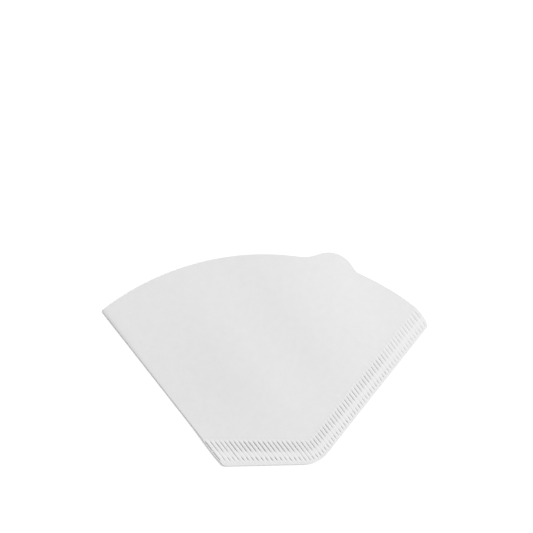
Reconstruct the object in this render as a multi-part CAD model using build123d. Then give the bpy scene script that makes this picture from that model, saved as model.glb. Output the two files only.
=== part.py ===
"""Cone coffee filter, lying flat as it comes out of its packet.

One fan-shaped sheet of filter paper is folded in half along a straight fold, and
the two plies are crimped together along the bottom and along the side across
from the fold. The mouth stays open, and the upper ply carries a thumb tab there.
All lengths are in millimetres. The sheet is drawn from its tip, the point where
the fold and the side edge would meet, and is moved to its own frame at the end.
"""

import os
from math import acos, atan2, cos, degrees, hypot, radians, sin, tan

from build123d import *

# Paper
ply = 0.22  # thickness of one ply of filter paper
seam_air = 0.3  # air that the crimps leave between the plies in the seams and at the fold
overrun = 2.0  # how far cutting shapes reach past what they cut

# Outline of the folded sheet
mouth_radius = 140.0  # tip to the open mouth, which is cut as an arc
fan_angle = 79.4  # degrees between the fold and the side edge
tip_to_bottom = 30.9  # tip to the straight bottom edge
bottom_corner = 17.0  # round where the bottom seam turns into the side seam
fold_foot_corner = 4.0  # round at the foot of the fold
fold_mouth_corner = 1.5  # round where the fold meets the mouth
side_mouth_corner = 3.0  # round where the shoulder meets the side edge
shoulder_run = 8.0  # shoulder at the end of the mouth, measured along the mouth
shoulder_drop = 3.2  # and measured along the side edge
shoulder_round_share = 0.62  # share of the shoulder that its round takes up

# Thumb tab on the upper ply
tab_angle = 13.5  # degrees from the centre line towards the side seam
tab_height = 6.0  # how far the tab stands past the mouth
tab_radius = 16.0  # round end of the tab
tab_fold_side_root = 24.0  # hollow round at its root, towards the fold
tab_side_seam_root = 9.0  # hollow round at its root, towards the side seam

# Pocket between the plies
mouth_gape = 2.8  # widest gap between the plies, level with the top of the tab
belly_share = 0.45  # share of the way from fold to side seam where the gap is widest

# Crimped seams, in rows counted inwards from the edge
first_groove = 2.4  # from the fold to the first groove
crimp_pitch = 1.925  # from the first groove to the next, square to the fold
crimp_gain = 0.0034  # how much wider each pitch is than the one before
groove_count = 65  # grooves in a row
groove_width = 0.7
groove_depth = 0.4
bottom_border = 2.1  # plain border along the bottom edge
side_border = 1.4  # plain border along the side edge
short_row = 2.1  # length of the grooves in the short row
row_gap = 2.6  # land between the two rows
bottom_long_row = 5.4  # length of the long row's grooves along the bottom
side_long_row = 4.9  # and along the side
row_corner = 2.0  # least round of a row where it turns the corner
weld_margin = 1.2  # plain strip between the long row and the pocket

half_angle = fan_angle / 2
slope = tan(radians(half_angle))
lean = cos(radians(half_angle))
fold_way = Vector(-sin(radians(half_angle)), cos(radians(half_angle)))
seam_thick = 2 * ply + seam_air
fold_radius = seam_thick / 2
bottom_seam = bottom_border + short_row + row_gap + bottom_long_row + weld_margin
side_seam = side_border + short_row + row_gap + side_long_row + weld_margin
top_level = mouth_radius + tab_height + overrun
body_height = seam_thick + mouth_gape

# Upright plane square to the fold, with its own x running from the fold into the sheet
square_to_fold = Plane(origin=(0, 0, 0), x_dir=(fold_way.Y, -fold_way.X, 0), z_dir=-fold_way)


def fan_point(radius, angle):
    """Point at a radius from the tip and an angle from the centre line, the side seam's way."""
    return Vector(radius * sin(radians(angle)), radius * cos(radians(angle)))


def rounded(sheet, corner, radius):
    """The sheet with the corner nearest to a point rounded."""
    return fillet(sheet.vertices().sort_by_distance(corner)[0], radius)


def plain_outline():
    """Outline that both plies share, without the tab."""
    low_left = Vector(-tip_to_bottom * slope, tip_to_bottom)
    low_right = Vector(tip_to_bottom * slope, tip_to_bottom)
    high_right = Vector(top_level * slope, top_level)
    high_left = Vector(-top_level * slope, top_level)
    wedge = make_face(Polyline(low_left, low_right, high_right, high_left, close=True))
    fan = wedge & Circle(mouth_radius)

    # The shoulder is a straight cut off the mouth's corner, rounded at both ends.
    start = fan_point(mouth_radius, half_angle - degrees(shoulder_run / mouth_radius))
    end = fan_point(mouth_radius - shoulder_drop, half_angle)
    outward = Vector(start.Y - end.Y, end.X - start.X)
    fan -= make_face(Polyline(start, end, end + outward, start + outward, close=True))
    turn = atan2(shoulder_drop, shoulder_run)
    shoulder_radius = shoulder_round_share * hypot(shoulder_run, shoulder_drop) / tan(turn / 2)
    fan = rounded(fan, start, shoulder_radius)
    fan = rounded(fan, end, side_mouth_corner)
    fan = rounded(fan, low_right, bottom_corner)
    fan = rounded(fan, low_left, fold_foot_corner)
    return rounded(fan, fan_point(mouth_radius, -half_angle), fold_mouth_corner)


def tabbed_outline():
    """Outline of the upper ply, with the thumb tab blended into the mouth."""
    tab_reach = mouth_radius + tab_height - tab_radius
    sheet = plain_outline() + Pos(fan_point(tab_reach, tab_angle)) * Circle(tab_radius)
    spread = (mouth_radius**2 + tab_reach**2 - tab_radius**2) / (2 * mouth_radius * tab_reach)
    root_angle = degrees(acos(spread))
    sheet = rounded(sheet, fan_point(mouth_radius, tab_angle - root_angle), tab_fold_side_root)
    return rounded(sheet, fan_point(mouth_radius, tab_angle + root_angle), tab_side_seam_root)


def inside_edges(bottom_inset, side_inset):
    """All that lies further in than the two insets from the bottom and the side edge."""
    low = tip_to_bottom + bottom_inset
    side_shift = side_inset / lean
    low_right = Vector(low * slope - side_shift, low)
    high_right = Vector(top_level * slope - side_shift, top_level)
    high_left = Vector(-top_level * slope - overrun, top_level)
    low_left = Vector(high_left.X, low)
    region = make_face(Polyline(low_left, low_right, high_right, high_left, close=True))
    return rounded(region, low_right, max(bottom_corner - bottom_inset, row_corner))


def along_fold(*edges):
    """Prism of a profile that stands square to the fold and runs from the tip past the mouth."""
    return extrude(square_to_fold * make_face(edges), -top_level)


def half_round(radius):
    """Half-round rod along the fold, bulging out of the sheet's edge."""
    low = (fold_radius, fold_radius - radius)
    high = (fold_radius, fold_radius + radius)
    bulge = ThreePointArc(low, (fold_radius - radius, fold_radius), high)
    return along_fold(bulge, Line(high, low))


def ply_section(level, crest_height):
    """Upper ply in an upright section across the fan, from the top of the fold to the side seam."""
    fold_top = fold_radius / lean - level * slope
    seam_start = level * slope - side_seam / lean
    crest = fold_top + belly_share * (seam_start - fold_top)
    points = [(fold_top, seam_thick), (crest, crest_height), (seam_start, seam_thick)]
    outside = Spline(points, tangents=[(1, 0), (1, 0)])
    inside = Pos(0, -ply) * outside
    ends = [Line(outside @ 0, inside @ 0), Line(outside @ 1, inside @ 1)]
    across = Plane(origin=(0, level, 0), x_dir=(1, 0, 0), z_dir=(0, -1, 0))
    return across * make_face([outside, inside, *ends])


def upper_ply():
    """Upper ply over the pocket: flat at the bottom seam and arched off the other ply at the mouth."""
    flat = ply_section(tip_to_bottom + bottom_seam, seam_thick)
    arched = ply_section(top_level, 2 * ply + mouth_gape)
    return loft([flat, arched], ruled=True) & extrude(tabbed_outline(), body_height)


def folded_sheet():
    """Both plies, the fold between them and the seams that hold them, before crimping."""
    outline = plain_outline()
    pocket = inside_edges(bottom_seam, side_seam)
    lower_ply = extrude(outline, ply)
    seams = extrude(outline - pocket, seam_thick)
    low, high = -overrun, body_height
    fold_edge = along_fold(
        Polyline((-overrun, low), (fold_radius, low), (fold_radius, high), (-overrun, high), close=True)
    )
    fold = half_round(fold_radius) & extrude(outline, body_height)
    fold -= half_round(fold_radius - ply) & extrude(pocket, body_height)
    return (lower_ply + seams - fold_edge) + fold + upper_ply()


def crimp_rows():
    """Bands that the short and the long row fill, as prisms through the paper."""
    inset = short_row + row_gap
    short_start = inside_edges(bottom_border, side_border)
    short_end = inside_edges(bottom_border + short_row, side_border + short_row)
    long_start = inside_edges(bottom_border + inset, side_border + inset)
    long_end = inside_edges(bottom_seam - weld_margin, side_seam - weld_margin)
    bands = [short_start - short_end, long_start - long_end]
    return [extrude(band, body_height, both=True) for band in bands]


def grooves(first_step, face_level, inward):
    """V grooves along the fold's direction; inward is -1 into the top face, 1 into the underside."""
    deepest = face_level + inward * groove_depth
    open_level = face_level - inward * groove_depth
    tools = []
    for k in range(groove_count):
        step = first_step + k
        place = first_groove + (crimp_pitch + crimp_gain * step / 2) * step
        left = (place - groove_width, open_level)
        right = (place + groove_width, open_level)
        tools.append(along_fold(Polyline(left, right, (place, deepest), close=True)))
    return Compound(tools)


def crimped_sheet():
    """The folded sheet with its seams crimped from above and, half a pitch on, from below."""
    sheet = folded_sheet()
    upper_grooves = grooves(0, seam_thick, -1)
    lower_grooves = grooves(0.5, 0, 1)
    for row in crimp_rows():
        sheet -= upper_grooves & row
        sheet -= lower_grooves & row
    return sheet


# The frame's origin lies on the underside, on the centre line, halfway from bottom edge to mouth.
middle = (tip_to_bottom + mouth_radius) / 2
filter_sheet = Pos(0, -middle, 0) * crimped_sheet()

os.makedirs("parts", exist_ok=True)
export_step(filter_sheet, "parts/filter_sheet.step")
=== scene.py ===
import math

import bmesh
import bpy
import numpy as np
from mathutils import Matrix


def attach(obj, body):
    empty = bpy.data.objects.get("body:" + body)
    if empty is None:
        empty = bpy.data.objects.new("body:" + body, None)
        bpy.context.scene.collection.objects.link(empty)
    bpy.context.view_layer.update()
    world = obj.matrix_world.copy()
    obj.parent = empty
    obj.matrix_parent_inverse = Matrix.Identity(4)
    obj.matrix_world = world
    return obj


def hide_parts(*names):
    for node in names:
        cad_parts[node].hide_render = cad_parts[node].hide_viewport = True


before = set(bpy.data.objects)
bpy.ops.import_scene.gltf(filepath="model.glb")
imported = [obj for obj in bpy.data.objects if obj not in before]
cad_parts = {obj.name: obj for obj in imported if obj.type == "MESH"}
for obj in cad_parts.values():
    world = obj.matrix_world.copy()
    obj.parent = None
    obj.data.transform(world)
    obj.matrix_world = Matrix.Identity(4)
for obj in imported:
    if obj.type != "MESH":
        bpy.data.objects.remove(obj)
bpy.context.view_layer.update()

# Folded filter sheet
# One fan of bleached filter paper, folded in half along its left edge. The two plies are pressed
# together by a short and a long row of crimps along the bottom and up the right side, with no glue,
# and the mouth stays open, with a thumb tab on the upper ply.
mm = 0.001  # the sheet is drawn in millimetres from its tip, where fold and side edge would meet
ply = 0.22
mouth_radius = 140.0
fan_angle = math.radians(79.4)
half_angle = fan_angle / 2
tip_to_bottom = 30.9
middle = (tip_to_bottom + mouth_radius) / 2

# Round corners of the outline
bottom_corner = 17.0
least_corner = 2.0
fold_foot_corner = 4.0
fold_mouth_corner = 1.5
side_mouth_corner = 3.0
shoulder_run = 8.0
shoulder_drop = 3.2
shoulder_radius = 28.0

# Thumb tab
tab_turn = half_angle + math.radians(13.5)
tab_height = 6.0
tab_radius = 15.6
tab_far = mouth_radius + tab_height - tab_radius
tab_roots = ((24.0, -1), (8.0, 1))  # hollow rounds towards the fold and towards the side seam
tab_blend = 25.0

# Crimps: steps count the rows' limits inwards, each with its inset from the bottom and the side edge
row_steps = (0, 1, 2, 3, 4, 5)
bottom_insets = (0, 2.2, 3.95, 6.55, 11.95, 13.4)
side_insets = (0, 1.35, 3.7, 6.25, 11.0, 12.2)
crimp_pitch = 1.925
crimp_gain = 0.0034  # each pitch is this much wider than the one before
first_groove = 2.4  # one more groove lies right beside the fold
groove_reach = 0.36
groove_depth = 0.38
crease_sharpness = 1.3  # how much narrower the crease beside the fold is
ridge_rise = 0.04
short_press = 0.95  # how hard the short row is pressed beside the long row
bottom_tilt = math.radians(1.2)  # the bottom edge is cut a little askew to the rows
bottom_pivot = 3.0  # and meets its straight place this far to the fold's side of the middle
seam_base = 0.40
seam_top = 0.86
ply_gap = 0.02  # least air between the plies in a groove
pleat_press = 0.35  # the long row's grooves run on into the pocket this strongly
pleat_fade = 4.0  # and fade out over this length
fold_bulge = 0.4  # how far the pressing spreads the fold in the seams
bulge_reach = 1.0  # how far in from the fold the paper shifts with it
bulge_steps = (0, 0.8, 2.2, 3.2, 5)
bulge_shares = (0, 0.4, 1, 0.85, 0)
bead_drop = 0.12  # how far the fold's bead is pressed down there

# Pocket
mouth_gape = 3.2
mouth_close = 0.7  # how much of the gape the mouth loses again
close_start = 0.6  # from this share of the way to the mouth on
mouth_spring = 0.3  # how far the fold springs the mouth open
spring_run = 0.8
fold_press = 0.22  # how much flatter the fold is pressed than the seams
lower_short = 0.35  # how much shorter the lower ply is at the mouth
short_run = 8.0  # and over which length at either end of the mouth that fades
settle_run = 6.0  # how far inside the seams the lower ply comes down to the floor
mouth_ease = 0.9  # how close to the side seam the mouth eases into the shoulder
pocket_level = tip_to_bottom + bottom_insets[-1]
top_level = 148.0

# Waves in the upper ply, which run along the fold: their slopes at distances from the fold
wave_places = (3, 27, 50, 74, 112, 135)
wave_slopes = (0, 0.025, -0.025, 0.062, -0.05, 0)
wave_fade = 0.6  # how much of them is lost towards the mouth
wave_fade_start = 85.0
wave_fade_run = 35.0


def smooth(x):
    """Soft step from 0 to 1."""
    x = np.clip(x, 0, 1)
    return x * x * (3 - 2 * x)


def valley(x, first, second, radius):
    """Higher of two lines, each a start and a rise, with the valley between them rounded."""
    slant_1 = math.hypot(1, first[1])
    slant_2 = math.hypot(1, second[1])
    gap = first[0] + radius * slant_1 - second[0] - radius * slant_2
    centre = gap / (second[1] - first[1])
    level = first[0] + radius * slant_1 + first[1] * centre
    start = centre + radius * first[1] / slant_1
    end = centre + radius * second[1] / slant_2
    lines = np.maximum(first[0] + first[1] * x, second[0] + second[1] * x)
    arc = level - np.sqrt(np.maximum(radius**2 - (x - centre) ** 2, 0))
    return np.where((x > start) & (x < end), arc, lines)


def foot_cut(across, lean):
    """What the round at the foot of the fold takes off along the fold."""
    length = fold_foot_corner * math.tan((math.pi / 2 - lean) / 2)
    short = np.maximum(fold_foot_corner - across, 0)
    arc = length - np.sqrt(np.maximum(fold_foot_corner**2 - short**2, 0))
    on_arc = across < length * math.cos(lean)
    return np.where(on_arc, arc + across * math.tan(lean), 0)


def seam_line(across, step):
    """How far along the fold a row of the seam lies, at distances across from the fold."""
    bottom_inset = np.interp(step, row_steps, bottom_insets)
    side_inset = np.interp(step, row_steps, side_insets)
    edge_share = max(1 - step, 0)
    tilt = bottom_tilt * edge_share
    lean = half_angle - tilt
    start = (tip_to_bottom + bottom_inset) * math.cos(tilt) + bottom_pivot * math.sin(tilt)
    bottom = (start / math.cos(lean), -math.tan(lean))
    side = (side_inset / math.sin(fan_angle), 1 / math.tan(fan_angle))
    along = valley(across, bottom, side, max(bottom_corner - bottom_inset, least_corner))
    return along + foot_cut(across, lean) * edge_share


def seam_end(step):
    """Distance across from the fold where a row of the seam runs out at the shoulder."""
    inset = np.interp(step, row_steps, side_insets)
    turn = shoulder_run / mouth_radius
    arc_start = mouth_radius * math.cos(turn)
    arc_inset = mouth_radius * math.sin(turn)
    foot = mouth_radius - shoulder_drop
    rise = (arc_start - foot) / arc_inset
    shoulder = (-foot, -rise)
    mouth = (-arc_start - arc_inset * math.tan(turn), math.tan(turn))
    reach = -float(valley(np.array(inset), shoulder, mouth, shoulder_radius))
    reach = min(reach, math.sqrt(mouth_radius**2 - inset**2))
    slant = math.hypot(1, rise)
    if inset < side_mouth_corner * (1 - rise / slant):
        corner = foot + rise * side_mouth_corner - side_mouth_corner * slant
        reach = corner + math.sqrt(side_mouth_corner**2 - (side_mouth_corner - inset) ** 2)
    return reach * math.sin(fan_angle) - inset * math.cos(fan_angle)


def mouth_line(across):
    """How far along the fold the plain mouth lies, at distances across from the fold."""
    short = np.maximum(fold_mouth_corner - across, 0)
    corner = fold_mouth_corner - np.sqrt(np.maximum(fold_mouth_corner**2 - short**2, 0))
    arc = np.sqrt(np.maximum(mouth_radius**2 - across**2, 0))
    end = seam_end(5)
    past_arc = math.sqrt(mouth_radius**2 - end**2) - float(seam_line(np.array(end), 5))
    return arc - corner - past_arc * np.clip(1 - (end - across) / mouth_ease, 0, 1) ** 2


def tab_reach(angle):
    """Distance from the tip to the upper ply's mouth, at angles from the fold."""
    turn = angle - tab_turn
    reach = np.full_like(turn, mouth_radius)
    crown = tab_far * np.cos(turn)
    crown += np.sqrt(np.maximum(tab_radius**2 - (tab_far * np.sin(turn)) ** 2, 0))
    for root_radius, way in tab_roots:
        root_far = mouth_radius + root_radius
        apart = tab_radius + root_radius
        root_turn = math.acos((root_far**2 + tab_far**2 - apart**2) / (2 * root_far * tab_far))
        share = tab_radius / apart
        meet_side = share * root_far * math.sin(root_turn)
        meet_far = tab_far + share * (root_far * math.cos(root_turn) - tab_far)
        meet = math.atan2(meet_side, meet_far)
        off = root_turn - way * turn
        hollow = root_far * np.cos(off)
        hollow -= np.sqrt(np.maximum(root_radius**2 - (root_far * np.sin(off)) ** 2, 0))
        reach = np.where((way * turn > meet) & (way * turn < root_turn), hollow, reach)
        reach = np.where((way * turn >= 0) & (way * turn <= meet), crown, reach)
    return reach


# Columns run along the fold: seven to a groove and one down each ridge. Over the pocket only the
# wide ones stay, down the middle of each groove and ridge.
first_column = 0.3
first_wide = 1.0
straight_end = 129.0  # columns past this are stretched to the shoulder
last_columns = (133.7, 134.2, 134.6)
order = np.arange(-1, 65)
groove_places = first_groove + (crimp_pitch + crimp_gain * order / 2) * order
ridge_places = np.append((groove_places[:-1] + groove_places[1:]) / 2, last_columns)
offsets = np.array((-0.6, -0.36, -0.16, 0, 0.16, 0.36, 0.6))
nominal = np.concatenate(((groove_places[:, None] + offsets).ravel(), ridge_places))
nominal = np.sort(nominal[nominal > first_column])
groove_of = np.abs(nominal[:, None] - groove_places).argmin(axis=1)
from_groove = np.abs(nominal - groove_places[groove_of])
from_groove[groove_of == 0] *= crease_sharpness
wide = (from_groove < 0.01) | np.isin(nominal, ridge_places)
wide[nominal < first_wide] = False
wide[np.searchsorted(nominal, first_wide)] = True

# No two crimps are pressed quite alike. They are deepest along the bottom and shallow at the shoulder.
chance = np.random.default_rng(11)
depth_share = chance.uniform(0.92, 1.08, len(order))[groove_of]
press_places = (0, 1.4, 1.6, 6, 10, 14, 24, 34, 45, 65, 98, 107, 135)
press_shares = (1.2, 1.2, 0.78, 0.86, 0.95, 1.12, 1.08, 0.94, 0.78, 0.76, 0.7, 0.5, 0.45)
depth_share *= np.interp(nominal, press_places, press_shares)
short_shift = chance.uniform(-0.05, 0.05, len(order))[groove_of]
long_shift = chance.uniform(-0.02, 0.02, len(order))[groove_of]
land_depth = chance.uniform(0.14, 0.32, len(order))
land_depth[0] = 1.0  # the crease beside the fold runs right through the land between the rows
land_depth[1] = 0.5  # the next one does so faintly
land_depth[4] = 0.9  # and one more nearly as deep
land_depth[18:21] = 0.55  # the rows meet in the corner
land_depth = land_depth[groove_of]


def crimp(step, inside):
    """Height that the crimps add to the seam at each column of a row, and how hard their grooves are
    pressed, which sets the shade painted into them.
    """
    groove = np.maximum(1 - from_groove / groove_reach, 0) ** 1.2
    swell = np.clip((from_groove - groove_reach) / (crimp_pitch / 2 - groove_reach), 0, 1)
    ridge = np.sin(swell * math.pi / 2) ** 2
    short_step = step + short_shift
    long_step = step + long_shift
    short_row = short_press * smooth((short_step - 0.8) / 0.4) * smooth((2.2 - short_step) / 0.4)
    long_row = smooth((long_step - 2.85) / 0.3) * smooth((4.1 - long_step) / 0.2)
    land = land_depth * smooth((step - 1.7) / 0.4) * smooth((3.2 - step) / 0.4)
    fade = pleat_press * np.clip(1 - inside / pleat_fade, 0, 1) ** 2 * (step >= 3.9)
    pressed = np.maximum(np.maximum(short_row, long_row), np.maximum(land, fade)) * depth_share
    height = (ridge_rise * ridge - groove_depth * groove) * pressed
    return height, groove * pressed


wave_grid = np.linspace(0, 140, 281)
wave_slope = np.interp(wave_grid, wave_places, wave_slopes)
wave_rounding = np.hanning(25)
wave_slope = np.convolve(np.pad(wave_slope, 12, "edge"), wave_rounding / wave_rounding.sum(), "valid")
wave_heights = np.cumsum(wave_slope) * (wave_grid[1] - wave_grid[0])


def plan(across, along):
    """Place in the part's frame of a point across from and along the fold."""
    x = across * math.cos(half_angle) - along * math.sin(half_angle)
    y = across * math.sin(half_angle) + along * math.cos(half_angle) - middle
    return x, y


def lift(across, along):
    """How far the upper ply rises over the seam's level above the pocket."""
    x, y = plan(across, along)
    y = y + middle
    left = -y * math.tan(half_angle)
    right = y * math.tan(half_angle) - side_insets[-1] / math.cos(half_angle)
    share = np.clip((x - left) / np.maximum(right - left, 1e-6), 0, 1)
    height = np.clip((y - pocket_level) / (top_level - pocket_level), 0, 1)
    near_mouth = smooth((np.hypot(x, y) / mouth_radius - close_start) / (1 - close_start))
    belly = mouth_gape * height * (1 - mouth_close * near_mouth) * np.sin(math.pi * share**1.1) ** 2
    sprung = mouth_spring * near_mouth * (1 - np.exp(-across / spring_run)) * (1 - share) ** 1.5
    flattened = fold_press * smooth(height / 0.1) * (1 - share) ** 8
    wave_share = 1 - wave_fade * smooth((along - wave_fade_start) / wave_fade_run)
    wave = np.interp(across, wave_grid, wave_heights) * wave_share
    return belly + sprung - flattened + wave * np.sin(math.pi * share) ** 0.5 * smooth(height * 3)


def below(across, along):
    """Height of the lower ply's underside: crimps in the seams, flat on the floor in between."""
    inside = along - seam_line(across, 5)
    return seam_base * (1 - smooth(inside / settle_run))


# Rows run round the sheet: in over the lower ply, round the fold and out over the upper ply.
bend = np.radians(np.linspace(-90, 90, 9))
edge_steps = (0, 0.05, 0.15, 0.3, 0.55)
short_steps = (0.8, 0.92, 1.05, 1.2, 1.5, 1.8, 1.95, 2.08, 2.25)
long_steps = (2.6, 2.85, 2.95, 3.05, 3.15, 3.4, 3.7, 3.9, 3.97, 4.04, 4.12, 4.5)
seam_steps = edge_steps + short_steps + long_steps
open_shares = np.concatenate(((0, 0.006, 0.013, 0.022), np.linspace(0.04, 1, 43)))

# Pressed paper is whiter, and the seams also get a painted sheen where their ridges catch the light.
# How much of both at these steps, along the bottom and along the side, and what is added near the
# fold and near the shoulder
whitening_sheen_steps = (0, 0.7, 1.1, 2.8, 3.2, 4.0, 4.2, 4.6, 5)
bottom_whitening_sheens = (0.19, 0.19, 0.50, 0.46, 0.06, 0.06, 0.26, 0.22, 0)
side_whitening_sheens = (0.32, 0.32, 0.34, 0.56, 0.14, 0.14, 0.28, 0.22, 0)
fold_whitening_sheens = (0, 0.05, 0.12, 0.15, 0.42, 0.42, 0.3, 0.2, 0)
end_whitening_sheens = (0, 0, 0, 0, 0.13, 0.13, 0, 0, 0)
side_start = 40.0  # distances from the fold: the side takes over from the bottom over this run
side_run = 30.0
end_start = 95.0  # the shoulder's share comes in over this run
end_run = 20.0
fold_run = 9.0  # and the fold's share is gone this far in


def sheet_row(step, open_share):
    """Outer and inner points of one row; open_share runs from 0 at the seam to 1 at the mouth."""
    stretch = (seam_end(step) - straight_end) / (nominal[-1] - straight_end)
    across = np.where(nominal > straight_end, straight_end + (nominal - straight_end) * stretch, nominal)
    bulge_share = np.interp(step, bulge_steps, bulge_shares)
    bulge = fold_bulge * bulge_share
    across = across - bulge * np.maximum(1 - across / bulge_reach, 0)
    along = seam_line(across, step)
    along = along + open_share * (mouth_line(across) - along)
    in_seam = step < 5
    inside = along - seam_line(across, 4)
    pressed, groove_shade = crimp(step, np.maximum(inside, 0))
    raised = np.zeros_like(across) if in_seam else lift(across, along)
    top = seam_top + pressed + raised
    base = np.maximum(below(across, along) + pressed, 0)
    if in_seam:
        top = np.maximum(top, base + 2 * ply + ply_gap)
    up_side = smooth((across - side_start) / side_run)
    up_end = smooth((across - end_start) / end_run)
    near_fold = np.clip(1 - across / fold_run, 0, 1)
    bottom_whitening_sheen = np.interp(step, whitening_sheen_steps, bottom_whitening_sheens)
    side_whitening_sheen = np.interp(step, whitening_sheen_steps, side_whitening_sheens)
    fold_whitening_sheen = np.interp(step, whitening_sheen_steps, fold_whitening_sheens)
    end_whitening_sheen = np.interp(step, whitening_sheen_steps, end_whitening_sheens)
    seam_whitening_and_sheen = bottom_whitening_sheen + (side_whitening_sheen - bottom_whitening_sheen) * up_side
    seam_whitening_and_sheen = seam_whitening_and_sheen + fold_whitening_sheen * near_fold + end_whitening_sheen * up_end

    # The bend joins both plies at the fold.
    edge = np.zeros(1)
    edge_along = seam_line(edge, step)
    edge_along = edge_along + open_share * (mouth_line(edge + first_column) - edge_along)
    edge_top = seam_top - bead_drop * bulge_share + (0 if in_seam else lift(edge, edge_along)[0])
    edge_base = max(below(edge, edge_along)[0] - bead_drop * bulge_share, 0)
    radius = (edge_top - edge_base) / 2
    heart = (edge_top + edge_base) / 2
    bend_across = radius * (1 - np.cos(bend)) - bulge
    bend_along = seam_line(bend_across, step)
    bend_along = bend_along + open_share * (mouth_line(bend_across) - bend_along)

    # The tab is drawn out of the upper ply's mouth.
    angle = np.arctan2(across, along)
    far = np.hypot(across, along)
    drawn = (tab_reach(angle) - mouth_radius) * smooth((far - mouth_radius + tab_blend) / tab_blend)
    tab_across = across * (1 + drawn / far)
    tab_along = along * (1 + drawn / far)

    # The lower ply ends a little short of the upper one.
    from_ends = smooth(across / short_run) * smooth((seam_end(5) - across) / short_run)
    short = lower_short * from_ends * open_share
    outer_across = np.concatenate((across[::-1], bend_across, tab_across))
    outer_along = np.concatenate(((along - short)[::-1], bend_along, tab_along))
    outer_height = np.concatenate((base[::-1], heart + radius * np.sin(bend), top))
    inner_bend = radius - (radius - ply) * np.cos(bend) - bulge
    inner_across = np.concatenate((across[::-1], inner_bend, tab_across))
    inner_height = np.concatenate((base[::-1] + ply, heart + (radius - ply) * np.sin(bend), top - ply))
    outer = np.column_stack((*plan(outer_across, outer_along), outer_height))
    inner = np.column_stack((*plan(inner_across, outer_along), inner_height))
    # Marks: shade painted into the crimps' grooves, and whiter pressed paper with painted sheen on the
    # seams
    marks = np.column_stack((
        np.concatenate((groove_shade[::-1], np.zeros(len(bend)), groove_shade)),
        np.concatenate((seam_whitening_and_sheen[::-1], np.full(len(bend), seam_whitening_and_sheen[0]), seam_whitening_and_sheen)),
    ))
    return outer * mm, inner * mm, marks


narrow_columns = np.arange(2 * len(nominal) + len(bend))
wide_columns = np.flatnonzero(np.concatenate((wide[::-1], np.ones(len(bend), bool), wide)))
rows = [(narrow_columns, *sheet_row(step, 0.0)) for step in seam_steps]
for open_share in open_shares:
    outer, inner, marks = sheet_row(5, open_share)
    rows.append((wide_columns, outer[wide_columns], inner[wide_columns], marks[wide_columns]))

points = []
pressing = []
skins = ([], [])
count = 0
for columns, outer, inner, marks in rows:
    for skin, places in zip(skins, (outer, inner)):
        points.append(places)
        pressing.append(marks)
        skin.append(dict(zip(columns.tolist(), range(count, count + len(columns)))))
        count += len(columns)

faces = []
for skin in skins:
    for low, high in zip(skin[:-1], skin[1:]):
        low_columns = list(low)
        high_columns = list(high)
        for start, end in zip(high_columns[:-1], high_columns[1:]):
            if len(low_columns) == len(high_columns):
                between = [start, end]
            else:
                between = range(start, end + 1)
            faces.append([low[c] for c in between] + [high[end], high[start]])
outer_skin, inner_skin = skins
for edge_row in (0, -1):
    columns = list(outer_skin[edge_row])
    for start, end in zip(columns[:-1], columns[1:]):
        outer_edge = [outer_skin[edge_row][start], outer_skin[edge_row][end]]
        inner_edge = [inner_skin[edge_row][end], inner_skin[edge_row][start]]
        faces.append(outer_edge + inner_edge)
for column in (0, len(narrow_columns) - 1):
    for low in range(len(rows) - 1):
        outer_edge = [outer_skin[low][column], outer_skin[low + 1][column]]
        inner_edge = [inner_skin[low + 1][column], inner_skin[low][column]]
        faces.append(outer_edge + inner_edge)

sheet_mesh = bpy.data.meshes.new("folded_filter_sheet")
sheet_mesh.from_pydata(np.concatenate(points).tolist(), [], faces)
for mark, name in enumerate(("groove_shade", "seam_whitening_and_sheen")):
    layer = sheet_mesh.attributes.new(name, "FLOAT", "POINT")
    layer.data.foreach_set("value", np.concatenate(pressing)[:, mark].astype(np.float32))
work = bmesh.new()
work.from_mesh(sheet_mesh)
bmesh.ops.remove_doubles(work, verts=work.verts, dist=0.000002)
bmesh.ops.dissolve_degenerate(work, edges=work.edges, dist=0.000002)
bmesh.ops.recalc_face_normals(work, faces=work.faces)
work.to_mesh(sheet_mesh)
work.free()
sheet_mesh.shade_smooth()
sheet_mesh.set_sharp_from_angle(angle=math.radians(65))
sheet = bpy.data.objects.new("folded_filter_sheet", sheet_mesh)
bpy.context.scene.collection.objects.link(sheet)


class Paint:
    """A socket in a material. Arithmetic on it adds Math nodes."""

    def __init__(self, tree, socket=None):
        self.tree = tree
        self.socket = socket

    def node(self, kind, settings, values, output=0):
        """Adds a node, sets it up, then fills its sockets, and gives one of its outputs."""
        made = self.tree.nodes.new(kind)
        for name, setting in settings.items():
            setattr(made, name, setting)
        for name, value in values.items():
            if isinstance(value, Paint):
                self.tree.links.new(value.socket, made.inputs[name])
            else:
                made.inputs[name].default_value = value
        return Paint(self.tree, made.outputs[output] if made.outputs else None)

    def math(self, operation, first, second):
        return self.node("ShaderNodeMath", {"operation": operation}, {0: first, 1: second})

    def __add__(self, other):
        return self.math("ADD", self, other)

    __radd__ = __add__

    def __sub__(self, other):
        return self.math("SUBTRACT", self, other)

    def __rsub__(self, other):
        return self.math("SUBTRACT", other, self)

    def __mul__(self, other):
        return self.math("MULTIPLY", self, other)

    __rmul__ = __mul__


# Filter paper: long white fibres laid at random, felted and a little cloudy, with no coating.
paper_white = (0.815, 0.815, 0.812, 1)
paper_cloud = (0.785, 0.786, 0.786, 1)
# Whiter pressed paper, with a painted sheen on the seams
seam_white_with_sheen = (0.90, 0.90, 0.898, 1)
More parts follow.
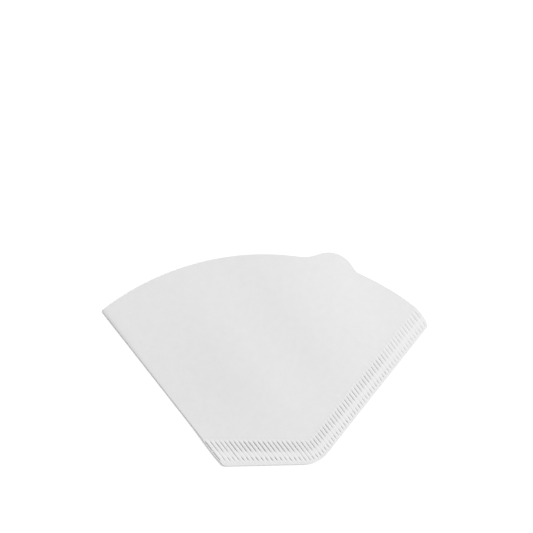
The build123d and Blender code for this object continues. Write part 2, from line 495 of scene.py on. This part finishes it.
# Grey of the shade painted into the crimps' grooves
groove_shade_grey = (0.50, 0.50, 0.50, 1)
filter_paper = bpy.data.materials.new("filter_paper")
filter_paper.use_nodes = True
filter_paper.node_tree.nodes.clear()
paper = Paint(filter_paper.node_tree)
place = paper.node("ShaderNodeTexCoord", {}, {}, "Object")
clouds = paper.node(
    "ShaderNodeTexNoise", {}, {"Vector": place, "Scale": 260, "Detail": 4, "Roughness": 0.6}
)
felt = paper.node(
    "ShaderNodeTexNoise", {}, {"Vector": place, "Scale": 1700, "Detail": 3, "Roughness": 0.65}
)
bending = paper.node("ShaderNodeTexNoise", {}, {"Vector": place, "Scale": 350, "Detail": 2}, "Color")
bent_place = paper.node(
    "ShaderNodeVectorMath", {"operation": "MULTIPLY_ADD"}, {0: bending, 1: (0.0012, 0.0012, 0), 2: place}
)
fibre_turns = (0.3, 1.1, 1.8, 2.7)
fibre_size = (0.0016, 0.00012, 0.001)
fibres = 0
for turn in fibre_turns:
    fibre_place = paper.node(
        "ShaderNodeMapping",
        {"vector_type": "TEXTURE"},
        {"Vector": bent_place, "Rotation": (0, 0, turn), "Scale": fibre_size},
    )
    strands = paper.node("ShaderNodeTexNoise", {}, {"Vector": fibre_place, "Scale": 1, "Detail": 1})
    fibre = paper.node("ShaderNodeMapRange", {}, {"Value": strands, "From Min": 0.56, "From Max": 0.70})
    fibres = fibre + fibres
cloudy = clouds * 0.65 + felt * 0.25 + fibres * 0.05
tint = paper.node("ShaderNodeMapRange", {}, {"Value": cloudy, "From Min": 0.32, "From Max": 0.66})
colour = paper.node(
    "ShaderNodeMix", {"data_type": "RGBA"}, {"Factor": tint, 6: paper_cloud, 7: paper_white}, 2
)
# The seams are whiter where pressed, with a painted sheen on top
seam_whitening_and_sheen = paper.node("ShaderNodeAttribute", {"attribute_name": "seam_whitening_and_sheen"}, {}, "Fac")
colour = paper.node(
    "ShaderNodeMix", {"data_type": "RGBA"}, {"Factor": seam_whitening_and_sheen, 6: colour, 7: seam_white_with_sheen}, 2
)
# Painted shade darkens the crimps' grooves
groove_shade = paper.node("ShaderNodeAttribute", {"attribute_name": "groove_shade"}, {}, "Fac")
colour = paper.node(
    "ShaderNodeMix", {"data_type": "RGBA"}, {"Factor": groove_shade * 0.95, 6: colour, 7: groove_shade_grey}, 2
)
relief = felt * 0.5 + fibres * 0.12 + clouds * 0.4
bump = paper.node("ShaderNodeBump", {}, {"Height": relief, "Strength": 0.3, "Distance": 0.0001})
surface = paper.node(
    "ShaderNodeBsdfPrincipled",
    {},
    {"Base Color": colour, "Roughness": 0.85 + felt * 0.12, "Specular IOR Level": 0.25, "Normal": bump},
)
paper.node("ShaderNodeOutputMaterial", {}, {"Surface": surface})
sheet_mesh.materials.append(filter_paper)

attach(sheet, "root")
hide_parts("filter_sheet")

# Floor
# A plain pale studio floor that the filter lies on. It is white to the camera and keeps the soft
# shadow along the filter's edges.
floor_half = 3.0
floor_mesh = bpy.data.meshes.new("studio_floor")
floor_corners = [(x * floor_half, y * floor_half, 0) for x, y in ((-1, -1), (1, -1), (1, 1), (-1, 1))]
floor_mesh.from_pydata(floor_corners, [], [(0, 1, 2, 3)])
studio_floor = bpy.data.objects.new("studio_floor", floor_mesh)
bpy.context.scene.collection.objects.link(studio_floor)
floor_paint = bpy.data.materials.new("studio_floor")
floor_paint.use_nodes = True
floor_paint.node_tree.nodes.clear()
ground = Paint(floor_paint.node_tree)
matte = ground.node("ShaderNodeBsdfDiffuse", {}, {"Color": (0.85, 0.85, 0.85, 1)})
camera_ray = ground.node("ShaderNodeLightPath", {}, {}, "Is Camera Ray")
floor_place = ground.node("ShaderNodeTexCoord", {}, {}, "Object")
away = ground.node("ShaderNodeVectorMath", {"operation": "LENGTH"}, {0: floor_place}, "Value")
level = ground.node(
    "ShaderNodeMapRange",
    {},
    {"Value": away, "From Min": 0.25, "From Max": 1.2, "To Min": 0.25, "To Max": 1.0},
)
glow = ground.node("ShaderNodeEmission", {}, {"Color": (1, 1, 1, 1), "Strength": camera_ray * level})
both = ground.node("ShaderNodeAddShader", {}, {0: matte, 1: glow})
ground.node("ShaderNodeOutputMaterial", {}, {"Surface": both})
floor_mesh.materials.append(floor_paint)

# Light
# One large soft lamp above and to the right, and an even white room.
lamp_data = bpy.data.lights.new("soft_lamp", "AREA")
lamp_data.energy = 75.0
lamp_data.size = 1.6
soft_lamp = bpy.data.objects.new("soft_lamp", lamp_data)
soft_lamp.location = (1.6, 1.1, 2.2)
soft_lamp.rotation_euler = (-soft_lamp.location).to_track_quat("-Z", "Y").to_euler()
bpy.context.scene.collection.objects.link(soft_lamp)
room = bpy.data.worlds.new("white_room")
room.use_nodes = True
room.node_tree.nodes.clear()
air = Paint(room.node_tree)
room_camera_ray = air.node("ShaderNodeLightPath", {}, {}, "Is Camera Ray")
room_light = 0.38
room_level = room_light + room_camera_ray * (1 - room_light)
white = air.node("ShaderNodeBackground", {}, {"Color": (1, 1, 1, 1), "Strength": room_level})
air.node("ShaderNodeOutputWorld", {}, {"Surface": white})
bpy.context.scene.world = room

# Camera
# It looks down on the lying sheet, leaning the way the sheet leans in the photograph.
camera_data = bpy.data.cameras.new("camera")
camera_data.lens = 85
camera_data.sensor_width = 36
camera = bpy.data.objects.new("camera", camera_data)
camera.location = (-0.17778, -0.02004, 0.63213)
camera.rotation_mode = "ZXY"
camera.rotation_euler = (math.radians(5.95), math.radians(-15.41), math.radians(0.77))
bpy.context.scene.collection.objects.link(camera)
bpy.context.scene.camera = camera
bpy.context.scene.view_settings.view_transform = "Standard"
